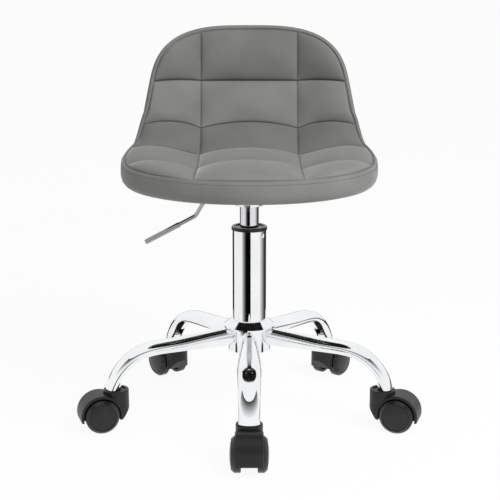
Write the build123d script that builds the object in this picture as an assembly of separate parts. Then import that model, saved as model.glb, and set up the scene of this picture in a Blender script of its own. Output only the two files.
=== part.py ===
from build123d import *
import math
import os

# Adjustable swivel stool: five chromed tube legs on hooded twin-wheel casters, a gas lift column
# and a padded bucket seat. Millimetres, Z up, the seat's front towards -Y. The column stands on
# the Z axis and the floor is Z = 0. Left and right are as seen from the front.
os.makedirs("parts", exist_ok=True)

# Fits
RUNNING_GAP = 0.05          # radial clearance of a shaft that turns or slides in a bore
FIXED_GAP = 0.05            # between pieces that are pressed, welded or clamped together
REST_GAP = 0.3              # between pieces that move and come to rest on each other

# Casters
WHEEL_D = 50.0
WHEEL_W = 15.7
WHEEL_SPACING = 22.6        # between the inner faces of a pair of wheels
CASTER_TRAIL = 25.0         # from the stem's axis out to the axle
HOOD_CLEARANCE = 2.5        # between a wheel's tread and the hood
HOOD_WALL = 3.5
HOOD_W = 39.0
HOOD_EDGE_R = 2.0
LIP_HEIGHT = 17.5           # lower edge of the hood above the floor
WEB_W = 18.0                # wall between the two wheels
COLLAR_D = 37.5
COLLAR_RISE = 4.0           # collar's top above the hood's top
COLLAR_EDGE_R = 1.6
CHIN_RISE = 15.0            # height of the sloped underside of the collar
CHIN_REACH = 6.0            # where that slope meets the lip, in from the stem's axis
DUST_GROOVE_D = 28.0
DUST_GROOVE_DEPTH = 1.6
STEM_D = 11.0
STEM_FOOT = 6.0             # plastic left under the stem
STEM_END_R = 4.4            # rounding of its upper end
AXLE_D = 8.0
AXLE_IN_WHEEL = 8.6         # how far the axle reaches into a wheel
WHEEL_HUB_D = 18.0
WHEEL_DISH = 5.0            # depth of the hollow in a wheel's inner face
TREAD_WALL = 4.0
TREAD_W = 9.4               # flat part of the tread
WHEEL_FACE_D = 40.0         # domed disc in a wheel's outer face
FACE_GROOVE = 1.0

# Base
STEM_CIRCLE_D = 414.0       # circle through the five caster stems
LEG_NAMES = ("front", "front_right", "rear_right", "rear_left", "front_left")
LEG_BEND_R = 75.0
LEG_SLOPE = 3.5             # fall of the straight part, in degrees
LEG_END_SLOPE = 75.0        # fall at the caster end, in degrees
LEG_END_OFFSET = 6.0        # how far a leg's end lies outside its stem
LEG_END_GAP = 1.5           # between a leg's end and its caster
LEG_ROOT = (22.0, 27.0)     # width and height of the oval tube at the hub
LEG_FLAT = (34.0, 20.0)     # at the start of the bend
LEG_TIP = (30.0, 17.5)      # at the caster
LEG_WALL = 1.6
SOCKET_D = 16.0
SOCKET_H = 13.0
STEM_SHOWN = 6.0            # rounded end of the stem above its socket
HUB_D = 63.0
HUB_BELOW_LEGS = 21.5
HUB_ABOVE_LEGS = 13.5
HUB_RIM_D = 76.0
HUB_RIM_EDGE = 2.2
HUB_CONE_H = 9.5
HUB_CONE_TOP_D = 55.0

# Column
COLUMN_D = 50.0
COLUMN_WALL = 2.0
COLUMN_FOOT_D = 46.8        # at the small end of its taper
COLUMN_BELOW_HUB = 4.0
COLUMN_SHOWN = 139.0        # above the hub
COLUMN_FLOOR = 4.0
DIMPLE_D = 12.0             # ball that forms the locating dimple
DIMPLE_DEPTH = 1.0
DIMPLE_DROP = 9.0
DIMPLE_TURN = -36.0         # round from +X, in degrees
CAP_D = 53.0
CAP_SKIRT = 1.6             # cap's lower edge below the tube's top
CAP_H = 3.4
CAP_BEVEL = 1.0
CAP_LIP_W = 4.5
CAP_RECESS = 1.6            # hollow in the cap's top, inside its lip
BUSH_L = 57.0
RACE_D = 30.0
RACE_H = 2.0
BALL_D = 5.0
BALL_COUNT = 9
BALL_CIRCLE_D = 21.0
CAGE_H = 2.0
CAGE_EDGE = 1.0             # cage metal left outside and inside the balls
CLIP_D = 18.0
CLIP_H = 1.5
CLIP_GROOVE = 1.0
BUMP_D = 22.0
BUMP_H = 8.0

# Gas spring
CYLINDER_D = 28.0
CYLINDER_WALL = 2.0
CYLINDER_SHOWN = 31.5       # between the cap and the seat's socket at the lowest height
CONE_TOP_D = 26.0
CYLINDER_HEAD = 30.0        # solid head that holds the valve pin
ROD_D = 10.0
ROD_SHOULDER_D = 18.0
ROD_SHOULDER_H = 2.0
ROD_TAIL = 4.0              # below the column's floor
PISTON_H = 12.0
PISTON_HEADROOM = 4.0
ROD_GUIDE_H = 20.0
VALVE_PIN_D = 8.0
VALVE_PIN_L = 24.0
VALVE_PIN_SHOWN = 3.5
VALVE_PIN_CROWN = 1.4

# Seat plate and lever
SOCKET_TUBE_D = 40.0
SOCKET_TUBE_H = 28.0
SOCKET_BELOW_PAN = 11.0
PAN_W = 94.0
PAN_CORNER_R = 9.0
PLATE_T = 2.5
FLANGE_X = 156.0
FLANGE_Y = 118.0
FLANGE_CORNER_R = 12.0
BOLT_SPACING_X = 126.0
BOLT_SPACING_Y = 92.0
BOLT_D = 6.0
BOLT_HOLE_D = 7.0
BOLT_SLOT_L = 12.0
BOLT_HEAD_D = 11.0
BOLT_HEAD_H = 4.0
WASHER_D = 18.0
WASHER_H = 1.4
TEE_NUT_D = 19.0
TEE_NUT_FLANGE = 1.5
TEE_NUT_BARREL_D = 8.6
LEVER_D = 6.2
LEVER_HEADROOM = 2.95       # between the lever and the seat's underside
LEVER_PIVOT_X = -34.0
LEVER_BOSS_D = 11.0
LEVER_BOSS_W = 12.0
PIVOT_PIN_D = 5.0
EAR_W = 14.0
EAR_T = 3.0
EAR_GAP = 0.4               # between the lever's boss and an ear
PADDLE_W = 12.0
PADDLE_T = 4.0
PADDLE_L = 22.0
PADDLE_PAST_PIN = 7.0
LEVER_SLOT_W = 13.0
LEVER_KNEE_SLOPE = 59.5     # fall between the two bends, in degrees
LEVER_KNEE_DROP = 50.5
LEVER_KNEE_X = -80.0
LEVER_TIP_X = -152.5
LEVER_TIP_SLOPE = 28.0
LEVER_BEND_R = 13.0
GRIP_D = 8.2
GRIP_L = 58.0
GRIP_END = 3.0              # closed end past the rod
GRIP_END_R = 2.6
GRIP_BEVEL = 0.6

# Seat: the centre line runs flat from the front seam, round a bend and up the back
SEAT_W = 375.0
WAIST_W = 339.0
BACK_W = 311.0
SEAT_FRONT = 187.0          # front seam ahead of the column's axis
BACK_CORNER = 118.0         # seat line and back line meet this far behind the axis
BACK_LEAN = 12.5            # degrees from upright
SEAT_BEND_R = 70.0
BACK_RISE = 190.5           # top seam above the seat line
WIDEST_AT = 194.0           # distances along the centre line from the front seam
WAIST_AT = 272.0
SHOULDER_AT = 356.0
FRONT_ROUNDNESS = 2.13      # powers of the two rounded ends of the outline
TOP_ROUNDNESS = 2.64
END_FLAT_W = 44.0
ROW_LENGTHS = (140.0, 110.0, 68.0, 79.0)    # pads from the front; the top row takes the rest
COLUMN_SEAM = 75.0          # the two lengthwise seams either side of the middle
END_SEAM_SHARE = 0.6        # their place at the narrow ends, as a part of the half width
SEAT_LIFT = 27.0            # how far the seat's sides rise towards the waist
LIFT_FROM = 163.0
LIFT_TO = 278.0
BACK_DISH = 50.0            # how far the back's sides come forward
DISH_FULL_AT = 0.9          # part of the bend by which they have done so
PAD_CROWN = 17.0
PAD_SEAM_CROWN = 1.0
PAD_FULLNESS = 0.6          # power of a pad's rise between two seams
SIDE_PAD_SHARE = 0.8
SEAM_DROP = 4.0             # the border seam lies this far under the pads' seams
RIM_DEPTH = 28.0            # height of the padded rim at the seat
BACK_RIM_DEPTH = 21.0
RIM_BULGE = 2.0
RIM_TUCK = 7.0              # how far the rim's lower edge draws in
RIM_W = 17.0
RIM_END = 9.0               # length of the rounding at the front and the top
RIM_END_DRAW = 6.0
FOAM_T = 10.0               # foam left under the seams
SHELL_SPACE = 9.0           # between the foam and the rear cover
SHELL_TOP_GAP = 1.4         # left under the foam round the bend
COVER_T = 5.0
LEAST_BOW = 0.05            # keeps a nearly straight arc an arc
LAYER_SECTIONS = 22
END_SECTIONS = 7            # padding sections in the front row, and in the top row
PAD_SECTIONS = (0.07, 0.3, 0.7, 0.93)       # places of the sections across any other pad
LAYER_GAP = 0.8             # between the moulded layers, and between them and flat metal


# Shapes used throughout

def turned(points):
    """Turn an outline of (radius, height) points round the Z axis."""
    outline = Polyline(*[(radius, 0, height) for radius, height in points], close=True)
    return revolve(make_face(outline), Axis.Z)


def ring(outer_d, inner_d, bottom, top):
    """A plain sleeve or washer on the Z axis."""
    outer, inner = outer_d / 2, inner_d / 2
    return turned([(inner, bottom), (outer, bottom), (outer, top), (inner, top)])


def post(diameter, bottom, top, x=0.0, y=0.0):
    """An upright cylinder."""
    return Pos(x, y, (bottom + top) / 2) * Cylinder(diameter / 2, top - bottom)


def crossbar(diameter, start, end, x=0.0, z=0.0):
    """A cylinder along Y."""
    return Pos(x, (start + end) / 2, z) * Rot(90, 0, 0) * Cylinder(diameter / 2, end - start)


def block(low, high):
    """A box between two corners."""
    size = [b - a for a, b in zip(low, high)]
    centre = [(a + b) / 2 for a, b in zip(low, high)]
    return Pos(*centre) * Box(*size)


def eased(value):
    """Run smoothly from 0 to 1 as value does."""
    value = min(max(value, 0.0), 1.0)
    return value * value * (3 - 2 * value)


def save(node, shape):
    """Write one node's solids."""
    export_step(shape, f"parts/{node}.step")


def group(shapes):
    """Several separate solids in one node."""
    solids = [solid for shape in shapes for solid in shape.solids()]
    return Compound(children=solids)


# Heights, from the floor up

AXLE_Z = WHEEL_D / 2
WELL_R = WHEEL_D / 2 + HOOD_CLEARANCE
HOOD_R = WELL_R + HOOD_WALL
CASTER_TOP = AXLE_Z + HOOD_R + COLLAR_RISE
STEM_R = STEM_CIRCLE_D / 2
STEM_BOTTOM = LIP_HEIGHT + STEM_FOOT
LEG_END_Z = CASTER_TOP + LEG_END_GAP
SOCKET_TOP = LEG_END_Z + SOCKET_H
STEM_TOP = SOCKET_TOP + STEM_SHOWN

SLOPE = math.radians(LEG_SLOPE)
END_SLOPE = math.radians(LEG_END_SLOPE)
LEG_END_R = STEM_R + LEG_END_OFFSET
BEND_START_R = LEG_END_R - LEG_BEND_R * (math.sin(END_SLOPE) - math.sin(SLOPE))
BEND_START_Z = LEG_END_Z + LEG_BEND_R * (math.cos(SLOPE) - math.cos(END_SLOPE))
LEG_ROOT_R = HUB_D / 2 - LEG_ROOT[0] / 2
LEG_ROOT_Z = BEND_START_Z + (BEND_START_R - LEG_ROOT_R) * math.tan(SLOPE)

HUB_BOTTOM = LEG_ROOT_Z - HUB_BELOW_LEGS
HUB_RIM_Z = LEG_ROOT_Z + HUB_ABOVE_LEGS
HUB_TOP = HUB_RIM_Z + HUB_RIM_EDGE + HUB_CONE_H
COLUMN_BOTTOM = HUB_BOTTOM - COLUMN_BELOW_HUB
COLUMN_TOP = HUB_TOP + COLUMN_SHOWN
CAP_TOP = COLUMN_TOP + CAP_H
RACE_Z = COLUMN_BOTTOM + COLUMN_FLOOR
BALL_Z = RACE_Z + RACE_H + FIXED_GAP + BALL_D / 2
UPPER_RACE_Z = BALL_Z + BALL_D / 2 + FIXED_GAP
SHOULDER_Z = UPPER_RACE_Z + RACE_H
BUMP_Z = SHOULDER_Z + ROD_SHOULDER_H
CYLINDER_BOTTOM = BUMP_Z + BUMP_H + REST_GAP

SOCKET_TUBE_BOTTOM = CAP_TOP + CYLINDER_SHOWN
CYLINDER_TOP = SOCKET_TUBE_BOTTOM + SOCKET_TUBE_H
VALVE_PIN_TOP = CYLINDER_TOP + VALVE_PIN_SHOWN
LEVER_Z = VALVE_PIN_TOP + REST_GAP + PADDLE_T / 2
SEAT_UNDERSIDE = LEVER_Z + LEVER_D / 2 + LEVER_HEADROOM
PAN_BOTTOM = SOCKET_TUBE_BOTTOM + SOCKET_BELOW_PAN
PAN_FLOOR = PAN_BOTTOM + PLATE_T
FLANGE_BOTTOM = SEAT_UNDERSIDE - PLATE_T
SEAT_LINE = SEAT_UNDERSIDE + LAYER_GAP + COVER_T + SHELL_SPACE + FOAM_T


# Casters: built out along +X from the stem's axis, then set on the legs

def caster_body():
    hood = Cylinder(HOOD_R, HOOD_W)
    hood = fillet(hood.edges().filter_by(GeomType.CIRCLE), HOOD_EDGE_R)
    hood = Pos(CASTER_TRAIL, 0, AXLE_Z) * Rot(90, 0, 0) * hood
    collar = post(COLLAR_D, LIP_HEIGHT, CASTER_TOP)
    collar = fillet(collar.edges().group_by(Axis.Z)[-1], COLLAR_EDGE_R)
    body = hood + collar

    far = CASTER_TRAIL + 2 * HOOD_R
    near = -COLLAR_D
    chin_top = LIP_HEIGHT + CHIN_RISE
    below = AXLE_Z - 2 * HOOD_R
    corners = [(near, below), (far, below), (far, LIP_HEIGHT), (-CHIN_REACH, LIP_HEIGHT),
               (-COLLAR_D / 2, chin_top), (near, chin_top)]
    underside = Polyline(*[(x, 0, z) for x, z in corners], close=True)
    body -= extrude(make_face(underside), HOOD_W, both=True)

    for side in (-1, 1):
        inner, outer = side * WEB_W / 2, side * HOOD_W
        body -= crossbar(2 * WELL_R, min(inner, outer), max(inner, outer), CASTER_TRAIL, AXLE_Z)
    body -= post(STEM_D + 2 * RUNNING_GAP, STEM_BOTTOM - REST_GAP, 2 * CASTER_TOP)
    body -= crossbar(AXLE_D + 2 * FIXED_GAP, -HOOD_W, HOOD_W, CASTER_TRAIL, AXLE_Z)
    groove_floor = CASTER_TOP - DUST_GROOVE_DEPTH
    body -= ring(DUST_GROOVE_D, STEM_D + DUST_GROOVE_DEPTH * 2, groove_floor, 2 * CASTER_TOP)
    return body


def caster_wheel(side):
    """One wheel of a pair; its outline is (radius, distance out from the inner face)."""
    bore = AXLE_D / 2 + RUNNING_GAP
    tread = WHEEL_D / 2
    face = WHEEL_FACE_D / 2
    rim_face = WHEEL_W - 2 * FACE_GROOVE
    bore_end = AXLE_IN_WHEEL + REST_GAP
    dome_edge = (face - FACE_GROOVE, rim_face)
    dome_top = (0, WHEEL_W)
    dome_middle = (face / 2, WHEEL_W - FACE_GROOVE / 2)
    corners = [dome_edge, (face - FACE_GROOVE, rim_face - FACE_GROOVE), (face, rim_face - FACE_GROOVE),
               (face, rim_face), (face + FACE_GROOVE, rim_face), (tread, TREAD_W), (tread, FACE_GROOVE),
               (tread - FACE_GROOVE, 0), (tread - TREAD_WALL, 0), (tread - TREAD_WALL, WHEEL_DISH),
               (WHEEL_HUB_D / 2, WHEEL_DISH), (WHEEL_HUB_D / 2, 0), (bore, 0), (bore, bore_end),
               (0, bore_end), dome_top]
    outline = Polyline(*[(radius, 0, out) for radius, out in corners])
    dome = ThreePointArc(*[(radius, 0, out) for radius, out in (dome_top, dome_middle, dome_edge)])
    wheel = revolve(make_face([outline, dome]), Axis.Z)
    return Pos(CASTER_TRAIL, side * WHEEL_SPACING / 2, AXLE_Z) * Rot(-90 * side, 0, 0) * wheel


AXLE_END = WHEEL_SPACING / 2 + AXLE_IN_WHEEL
CASTER_PIECES = {
    "body": caster_body(),
    "axle": crossbar(AXLE_D, -AXLE_END, AXLE_END, CASTER_TRAIL, AXLE_Z),
    "wheel_a": caster_wheel(1),
    "wheel_b": caster_wheel(-1),
}


# Base: the legs are built out along +X, then turned round the column

def leg_section(travel, trim):
    """Oval of the tube at a distance along its centre line, made smaller all round by trim."""
    straight = (BEND_START_R - LEG_ROOT_R) / math.cos(SLOPE)
    bend = LEG_BEND_R * (END_SLOPE - SLOPE)
    if travel <= straight:
        slope = SLOPE
        radius = LEG_ROOT_R + travel * math.cos(SLOPE)
        height = LEG_ROOT_Z - travel * math.sin(SLOPE)
    elif travel <= straight + bend:
        slope = SLOPE + (travel - straight) / LEG_BEND_R
        radius = BEND_START_R + LEG_BEND_R * (math.sin(slope) - math.sin(SLOPE))
        height = BEND_START_Z - LEG_BEND_R * (math.cos(SLOPE) - math.cos(slope))
    else:
        slope = END_SLOPE
        over = travel - straight - bend
        radius = LEG_END_R + over * math.cos(END_SLOPE)
        height = LEG_END_Z - over * math.sin(END_SLOPE)
    flattened = eased(travel / straight)
    drawn_in = eased((travel - straight) / bend)
    size = [root + (flat - root) * flattened + (tip - flat) * drawn_in
            for root, flat, tip in zip(LEG_ROOT, LEG_FLAT, LEG_TIP)]
    plane = Plane(origin=(radius, 0, height), x_dir=(0, 1, 0), z_dir=(math.cos(slope), 0, -math.sin(slope)))
    return plane * Ellipse(size[0] / 2 - trim, size[1] / 2 - trim)


def leg():
    straight = (BEND_START_R - LEG_ROOT_R) / math.cos(SLOPE)
    bend = LEG_BEND_R * (END_SLOPE - SLOPE)
    past_end = LEG_TIP[1]
    stations = [straight * part for part in (0, 0.25, 0.5, 0.75, 1)]
    stations += [straight + bend * part for part in (0.25, 0.5, 0.75, 1)]
    stations.append(straight + bend + past_end)
    tube = loft([leg_section(travel, 0) for travel in stations])
    tube -= loft([leg_section(travel, LEG_WALL) for travel in stations])
    tube -= post(HUB_D + 2 * FIXED_GAP, 0, 2 * HUB_TOP)
    reach = 2 * LEG_END_R
    tube -= block((0, -reach, -reach), (reach, reach, LEG_END_Z))
    slot = SOCKET_D / 2 + FIXED_GAP
    tube -= block((BEND_START_R, -slot, 0), (STEM_R, slot, STEM_TOP + STEM_SHOWN))
    return tube


def stem():
    shaft = post(STEM_D, STEM_BOTTOM, STEM_TOP, STEM_R)
    return fillet(shaft.edges().group_by(Axis.Z)[-1], STEM_END_R)


def base_hub():
    foot = COLUMN_FOOT_D / 2 + FIXED_GAP
    neck = COLUMN_D / 2 + FIXED_GAP
    return turned([(foot, HUB_BOTTOM), (HUB_D / 2, HUB_BOTTOM), (HUB_D / 2, HUB_RIM_Z),
                   (HUB_RIM_D / 2, HUB_RIM_Z), (HUB_RIM_D / 2, HUB_RIM_Z + HUB_RIM_EDGE),
                   (HUB_CONE_TOP_D / 2, HUB_TOP), (neck, HUB_TOP)])


SOCKET = Pos(STEM_R, 0, 0) * ring(SOCKET_D, STEM_D + 2 * FIXED_GAP, LEG_END_Z, SOCKET_TOP)
LEG = leg()
STEM = stem()
TURNS = [Rot(0, 0, -90 + 360 / len(LEG_NAMES) * index) for index in range(len(LEG_NAMES))]

save("base_hub", base_hub())
save("caster_sockets", group([turn * SOCKET for turn in TURNS]))
save("caster_stems", group([turn * STEM for turn in TURNS]))
for turn, name in zip(TURNS, LEG_NAMES):
    save(f"leg_{name}", turn * LEG)
    for piece, shape in CASTER_PIECES.items():
        save(f"caster_{name}_{piece}", turn * Pos(STEM_R, 0, 0) * shape)


# Column, with the bearing that the seat turns on

def column_tube():
    outer, foot = COLUMN_D / 2, COLUMN_FOOT_D / 2
    taper = (outer - foot) / (HUB_TOP - HUB_BOTTOM)
    bottom = foot - taper * COLUMN_BELOW_HUB
    bore = outer - COLUMN_WALL
    floor_bore = bottom - COLUMN_WALL + taper * COLUMN_FLOOR
    tube = turned([(ROD_D / 2 + RUNNING_GAP, COLUMN_BOTTOM), (bottom, COLUMN_BOTTOM), (outer, HUB_TOP),
                   (outer, COLUMN_TOP), (bore, COLUMN_TOP), (bore, HUB_TOP), (floor_bore, RACE_Z),
                   (ROD_D / 2 + RUNNING_GAP, RACE_Z)])
    out = outer + DIMPLE_D / 2 - DIMPLE_DEPTH
    dimple = Pos(out, 0, COLUMN_TOP - DIMPLE_DROP) * Sphere(DIMPLE_D / 2)
    return tube - Rot(0, 0, DIMPLE_TURN) * dimple


def column_cap():
    edge = CAP_D / 2
    lip = edge - CAP_LIP_W
    skirt = COLUMN_D / 2 + FIXED_GAP
    inside = CYLINDER_D / 2 + REST_GAP
    bottom = COLUMN_TOP - CAP_SKIRT
    recess = CAP_TOP - CAP_RECESS
    return turned([(skirt, bottom), (edge, bottom), (edge, CAP_TOP - CAP_BEVEL), (edge - CAP_BEVEL, CAP_TOP),
                   (lip, CAP_TOP), (lip - CAP_BEVEL, recess), (inside, recess),
                   (inside, COLUMN_TOP + FIXED_GAP), (skirt, COLUMN_TOP + FIXED_GAP)])


def around_balls(shape):
    """Copies of a shape round the bearing's circle."""
    turns = [Rot(0, 0, 360 / BALL_COUNT * index) for index in range(BALL_COUNT)]
    return [turn * Pos(BALL_CIRCLE_D / 2, 0, BALL_Z) * shape for turn in turns]


def bearing_cage():
    outer = BALL_CIRCLE_D + BALL_D + 2 * CAGE_EDGE
    inner = BALL_CIRCLE_D - BALL_D - 2 * CAGE_EDGE
    cage = ring(outer, inner, BALL_Z - CAGE_H / 2, BALL_Z + CAGE_H / 2)
    for pocket in around_balls(Cylinder(BALL_D / 2 + RUNNING_GAP, BALL_D)):
        cage -= pocket
    return cage


save("column_tube", column_tube())
save("column_cap", column_cap())
save("guide_bush", ring(COLUMN_D - 2 * COLUMN_WALL - 2 * FIXED_GAP, CYLINDER_D + 2 * RUNNING_GAP,
                        COLUMN_TOP - BUSH_L, COLUMN_TOP))
save("bearing_lower_race", ring(RACE_D, ROD_D + 2 * RACE_H, RACE_Z, RACE_Z + RACE_H))
save("bearing_balls", group(around_balls(Sphere(BALL_D / 2))))
save("bearing_cage", bearing_cage())


# Gas spring: the rod turns on the bearing, the cylinder slides up the rod

CYLINDER_BORE = CYLINDER_D - 2 * CYLINDER_WALL
PISTON_TOP = CYLINDER_TOP - CYLINDER_HEAD - PISTON_HEADROOM
CLIP_TOP = COLUMN_BOTTOM - RUNNING_GAP


def piston_rod():
    rod, groove = ROD_D / 2, ROD_D / 2 - CLIP_GROOVE
    shoulder = ROD_SHOULDER_D / 2
    tail = CLIP_TOP - CLIP_H - ROD_TAIL / 2
    return turned([(0, tail), (rod, tail), (rod, CLIP_TOP - CLIP_H), (groove, CLIP_TOP - CLIP_H),
                   (groove, CLIP_TOP), (rod, CLIP_TOP), (rod, SHOULDER_Z), (shoulder, SHOULDER_Z),
                   (shoulder, BUMP_Z), (rod, BUMP_Z), (rod, PISTON_TOP), (0, PISTON_TOP)])


def gas_cylinder():
    outer, bore = CYLINDER_D / 2, CYLINDER_BORE / 2
    pin = VALVE_PIN_D / 2 + RUNNING_GAP
    head = CYLINDER_TOP - CYLINDER_HEAD
    return turned([(bore, CYLINDER_BOTTOM), (outer, CYLINDER_BOTTOM), (outer, SOCKET_TUBE_BOTTOM),
                   (CONE_TOP_D / 2, CYLINDER_TOP), (pin, CYLINDER_TOP), (pin, head), (bore, head)])


def valve_pin():
    radius = VALVE_PIN_D / 2
    bottom = VALVE_PIN_TOP - VALVE_PIN_L
    return turned([(0, bottom), (radius, bottom), (radius, VALVE_PIN_TOP - VALVE_PIN_CROWN),
                   (radius / 2, VALVE_PIN_TOP - VALVE_PIN_CROWN / 4), (0, VALVE_PIN_TOP)])


save("bearing_upper_race", ring(RACE_D, ROD_D + 2 * FIXED_GAP, UPPER_RACE_Z, SHOULDER_Z))
save("piston_rod", piston_rod())
save("retaining_clip", ring(CLIP_D, ROD_D - 2 * CLIP_GROOVE + 2 * FIXED_GAP, CLIP_TOP - CLIP_H, CLIP_TOP))
save("bump_stop", ring(BUMP_D, ROD_D + 2 * FIXED_GAP, BUMP_Z, BUMP_Z + BUMP_H))
save("piston", ring(CYLINDER_BORE - 2 * RUNNING_GAP, ROD_D + 2 * FIXED_GAP,
                    PISTON_TOP - PISTON_H, PISTON_TOP))
save("gas_cylinder", gas_cylinder())
save("rod_guide", ring(CYLINDER_BORE - 2 * FIXED_GAP, ROD_D + 2 * RUNNING_GAP, CYLINDER_BOTTOM,
                       CYLINDER_BOTTOM + ROD_GUIDE_H))
save("valve_pin", valve_pin())


# Seat plate and release lever

BOLT_PLACES = [(x * BOLT_SPACING_X / 2, y * BOLT_SPACING_Y / 2) for x in (-1, 1) for y in (-1, 1)]


def slab(x_size, y_size, corner, bottom, top):
    """A plate with rounded corners."""
    return Pos(0, 0, bottom) * extrude(RectangleRounded(x_size, y_size, corner), top - bottom)


def seat_plate():
    pan = slab(PAN_W, PAN_W, PAN_CORNER_R, PAN_BOTTOM, SEAT_UNDERSIDE)
    pan += slab(FLANGE_X, FLANGE_Y, FLANGE_CORNER_R, FLANGE_BOTTOM, SEAT_UNDERSIDE)
    inside = PAN_W - 2 * PLATE_T
    pan -= slab(inside, inside, PAN_CORNER_R - PLATE_T, PAN_FLOOR, 2 * SEAT_UNDERSIDE)
    pan -= post(SOCKET_TUBE_D + 2 * FIXED_GAP, 0, 2 * SEAT_UNDERSIDE)
    for x, y in BOLT_PLACES:
        slot = extrude(SlotOverall(BOLT_SLOT_L, BOLT_HOLE_D), 2 * SEAT_UNDERSIDE)
        pan -= Pos(x, y, 0) * slot
    slot_bottom = LEVER_Z - LEVER_D
    pan -= block((-FLANGE_X, -LEVER_SLOT_W / 2, slot_bottom),
                 (LEVER_PIVOT_X, LEVER_SLOT_W / 2, 2 * SEAT_UNDERSIDE))
    return pan


def taper_socket():
    mouth, top = CYLINDER_D / 2 + FIXED_GAP, CONE_TOP_D / 2 + FIXED_GAP
    outer = SOCKET_TUBE_D / 2
    return turned([(mouth, SOCKET_TUBE_BOTTOM), (outer, SOCKET_TUBE_BOTTOM), (outer, CYLINDER_TOP),
                   (top, CYLINDER_TOP)])


EAR_INSIDE = LEVER_BOSS_W / 2 + EAR_GAP
EAR_OUTSIDE = EAR_INSIDE + EAR_T


def lever_bracket():
    left, right = LEVER_PIVOT_X - EAR_W / 2, LEVER_PIVOT_X + EAR_W / 2
    top = LEVER_Z + PIVOT_PIN_D
    bracket = block((left, -EAR_OUTSIDE, PAN_FLOOR), (right, EAR_OUTSIDE, top))
    bracket -= block((left, -EAR_INSIDE, PAN_FLOOR + EAR_T), (right, EAR_INSIDE, top))
    hole = crossbar(PIVOT_PIN_D + 2 * FIXED_GAP, -2 * EAR_OUTSIDE, 2 * EAR_OUTSIDE, LEVER_PIVOT_X, LEVER_Z)
    return bracket - hole


KNEE_Z = LEVER_Z - LEVER_KNEE_DROP
ELBOW_X = LEVER_KNEE_X + LEVER_KNEE_DROP / math.tan(math.radians(LEVER_KNEE_SLOPE))
TIP_SLOPE = math.radians(LEVER_TIP_SLOPE)
TIP_Z = KNEE_Z + (LEVER_TIP_X - LEVER_KNEE_X) * math.tan(TIP_SLOPE)


def lever_rod():
    paddle_start = PADDLE_PAST_PIN - PADDLE_L
    bends = [(paddle_start, LEVER_Z), (ELBOW_X, LEVER_Z), (LEVER_KNEE_X, KNEE_Z), (LEVER_TIP_X, TIP_Z)]
    line = FilletPolyline(*[(x, 0, z) for x, z in bends], radius=LEVER_BEND_R)
    start = Plane(origin=(paddle_start, 0, LEVER_Z), z_dir=(-1, 0, 0))
    rod = sweep(start * Circle(LEVER_D / 2), line)
    rod += block((paddle_start, -PADDLE_W / 2, LEVER_Z - PADDLE_T / 2),
                 (PADDLE_PAST_PIN, PADDLE_W / 2, LEVER_Z + PADDLE_T / 2))
    rod += crossbar(LEVER_BOSS_D, -LEVER_BOSS_W / 2, LEVER_BOSS_W / 2, LEVER_PIVOT_X, LEVER_Z)
    return rod - crossbar(PIVOT_PIN_D + 2 * RUNNING_GAP, -PADDLE_W, PADDLE_W, LEVER_PIVOT_X, LEVER_Z)


def lever_grip():
    radius, bore = GRIP_D / 2, LEVER_D / 2 + FIXED_GAP
    inside = GRIP_L - GRIP_END
    grip = turned([(bore, 0), (radius, 0), (radius, GRIP_L), (0, GRIP_L), (0, inside), (bore, inside)])
    grip = fillet(grip.edges().group_by(Axis.Z)[-1], GRIP_END_R)
    grip = chamfer(grip.edges().group_by(Axis.Z)[0].sort_by(SortBy.RADIUS)[-1], GRIP_BEVEL)
    along = (-math.cos(TIP_SLOPE), 0, -math.sin(TIP_SLOPE))
    back = GRIP_L - GRIP_END - FIXED_GAP
    start = (LEVER_TIP_X - along[0] * back, 0, TIP_Z - along[2] * back)
    return Plane(origin=start, z_dir=along) * grip


SHELL_BOTTOM = SEAT_LINE - FOAM_T - SHELL_SPACE
SHELL_TOP = SEAT_LINE - FOAM_T - SHELL_TOP_GAP
WASHER_TOP = FLANGE_BOTTOM
HEAD_TOP = WASHER_TOP - WASHER_H


def seat_bolt():
    return post(BOLT_D, HEAD_TOP, SHELL_TOP) + post(BOLT_HEAD_D, HEAD_TOP - BOLT_HEAD_H, HEAD_TOP)


def tee_nut():
    bore = BOLT_D + 2 * FIXED_GAP
    seat = SHELL_TOP + LAYER_GAP
    flange = ring(TEE_NUT_D, bore, seat, seat + TEE_NUT_FLANGE)
    return flange + ring(TEE_NUT_BARREL_D, bore, SHELL_BOTTOM, seat)


def at_bolts(shape):
    return group([Pos(x, y, 0) * shape for x, y in BOLT_PLACES])


save("seat_plate", seat_plate())
save("taper_socket", taper_socket())
save("lever_bracket", lever_bracket())
save("lever_pivot_pin", crossbar(PIVOT_PIN_D, -EAR_OUTSIDE - EAR_GAP, EAR_OUTSIDE + EAR_GAP,
                                 LEVER_PIVOT_X, LEVER_Z))
save("lever_rod", lever_rod())
save("lever_grip", lever_grip())
save("seat_bolts", at_bolts(seat_bolt()))
save("bolt_washers", at_bolts(ring(WASHER_D, BOLT_D + 2 * FIXED_GAP, HEAD_TOP, WASHER_TOP)))
save("tee_nuts", at_bolts(tee_nut()))


# Seat: sections across the centre line, lofted from the front seam to the top of the back

LEAN = math.radians(BACK_LEAN)
TURN = math.pi / 2 - LEAN
BEND_SIDE = SEAT_BEND_R * math.tan(TURN / 2)
FLAT_L = SEAT_FRONT + BACK_CORNER - BEND_SIDE
BEND_L = SEAT_BEND_R * TURN
BACK_L = (BACK_RISE - BEND_SIDE * math.cos(LEAN)) / math.cos(LEAN)
SEAT_L = FLAT_L + BEND_L + BACK_L
ROW_ENDS = [sum(ROW_LENGTHS[:count]) for count in range(len(ROW_LENGTHS) + 1)] + [SEAT_L]


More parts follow.
